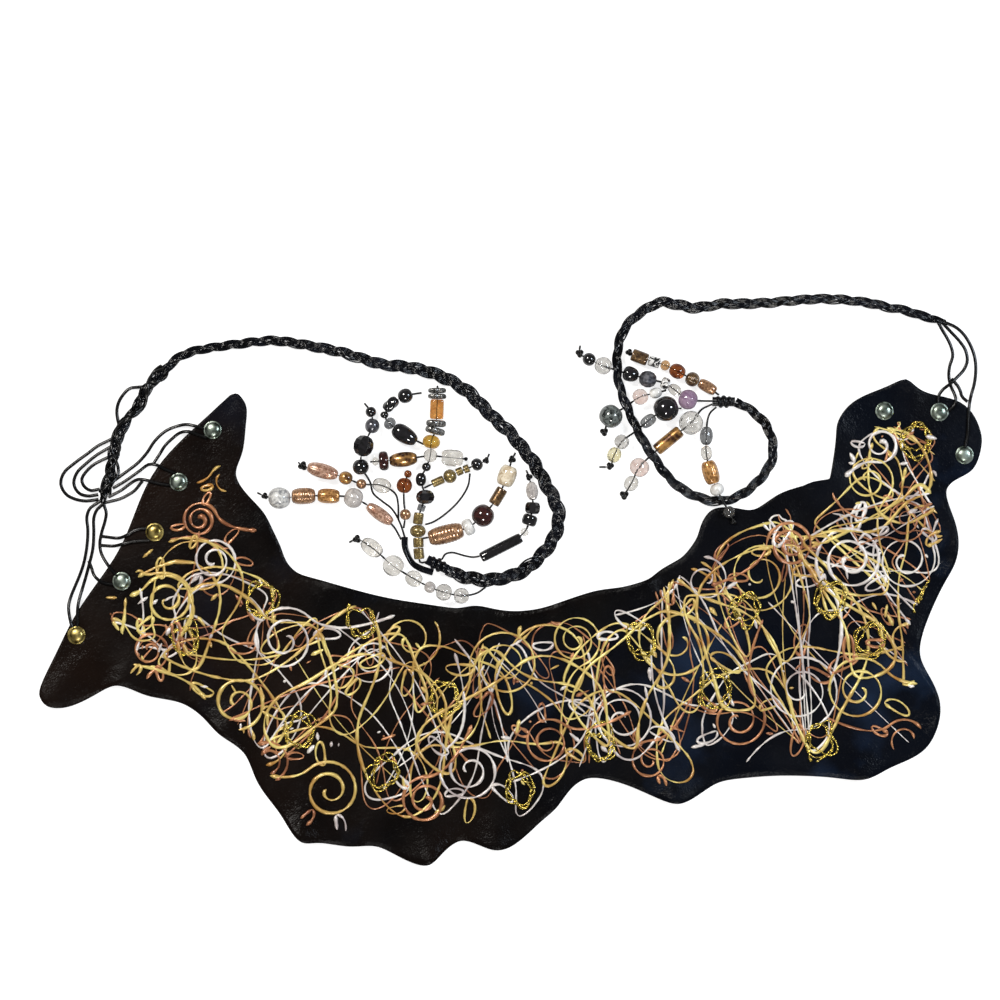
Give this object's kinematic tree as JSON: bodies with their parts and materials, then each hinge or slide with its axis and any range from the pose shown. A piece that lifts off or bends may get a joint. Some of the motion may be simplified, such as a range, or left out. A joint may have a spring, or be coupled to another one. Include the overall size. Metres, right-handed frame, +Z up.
{
  "type": "beaded sash belt",
  "caption": "Free-form black leather hip sash laid flat, with domed caps, leather laces, two plaited ties and glass-bead strands",
  "frame": {"origin": "the middle of the leather panel's outline, on the surface that the sash lies on", "axes": "+X runs along the belt towards its right-hand laced end, +Y towards the waist edge, +Z up from the surface"},
  "size_m": [0.5664, 0.3432, 0.0144],
  "materials": {
    "leather": "smooth black leather with a soft sheen",
    "lacing": "polished black leather cord",
    "silver": "polished silver-coloured cap",
    "brass": "polished brass cap",
    "amber_glass": "amber and copper-lined glass beads",
    "clear_glass": "clear and milky glass beads",
    "black_glass": "black glass beads"
  },
  "bodies": {
    "root": {"leather_panel": "leather", "cap_left_1": "silver", "cap_left_2": "silver", "cap_left_3": "brass", "cap_left_4": "silver", "cap_left_5": "brass", "cap_right_1": "silver", "cap_right_2": "silver", "cap_right_3": "silver", "lace_left_1a": "lacing", "lace_left_1b": "lacing", "lace_left_2a": "lacing", "lace_left_2b": "lacing", "lace_left_2c": "lacing", "lace_left_3a": "lacing", "lace_left_3b": "lacing", "lace_left_4a": "lacing", "lace_left_4b": "lacing", "lace_left_5a": "lacing", "lace_left_5b": "lacing", "lace_loop_1": "lacing", "lace_loop_2": "lacing", "lace_loop_3": "lacing", "lace_slack": "lacing", "lace_right_a": "lacing", "lace_right_b": "lacing", "lace_right_c": "lacing", "lace_right_d": "lacing", "tie_left": "lacing", "tie_right": "lacing", "strand_left_a": "amber_glass", "strand_left_b": "amber_glass", "strand_left_c": "black_glass", "strand_left_d": "black_glass", "strand_left_e": "amber_glass", "strand_left_f": "amber_glass", "strand_left_g": "clear_glass", "strand_left_h": "amber_glass", "strand_left_i": "amber_glass", "strand_left_j": "black_glass", "strand_left_k": "clear_glass", "strand_left_s": "amber_glass", "strand_right_a": "amber_glass", "strand_right_b": "clear_glass", "strand_right_c": "clear_glass", "strand_right_d": "black_glass", "strand_right_e": "amber_glass", "strand_right_f": "clear_glass", "knot_left": "lacing", "knot_right": "lacing", "cords_left": "lacing", "cord_left_back": "lacing"}
  },
  "joints": []
}
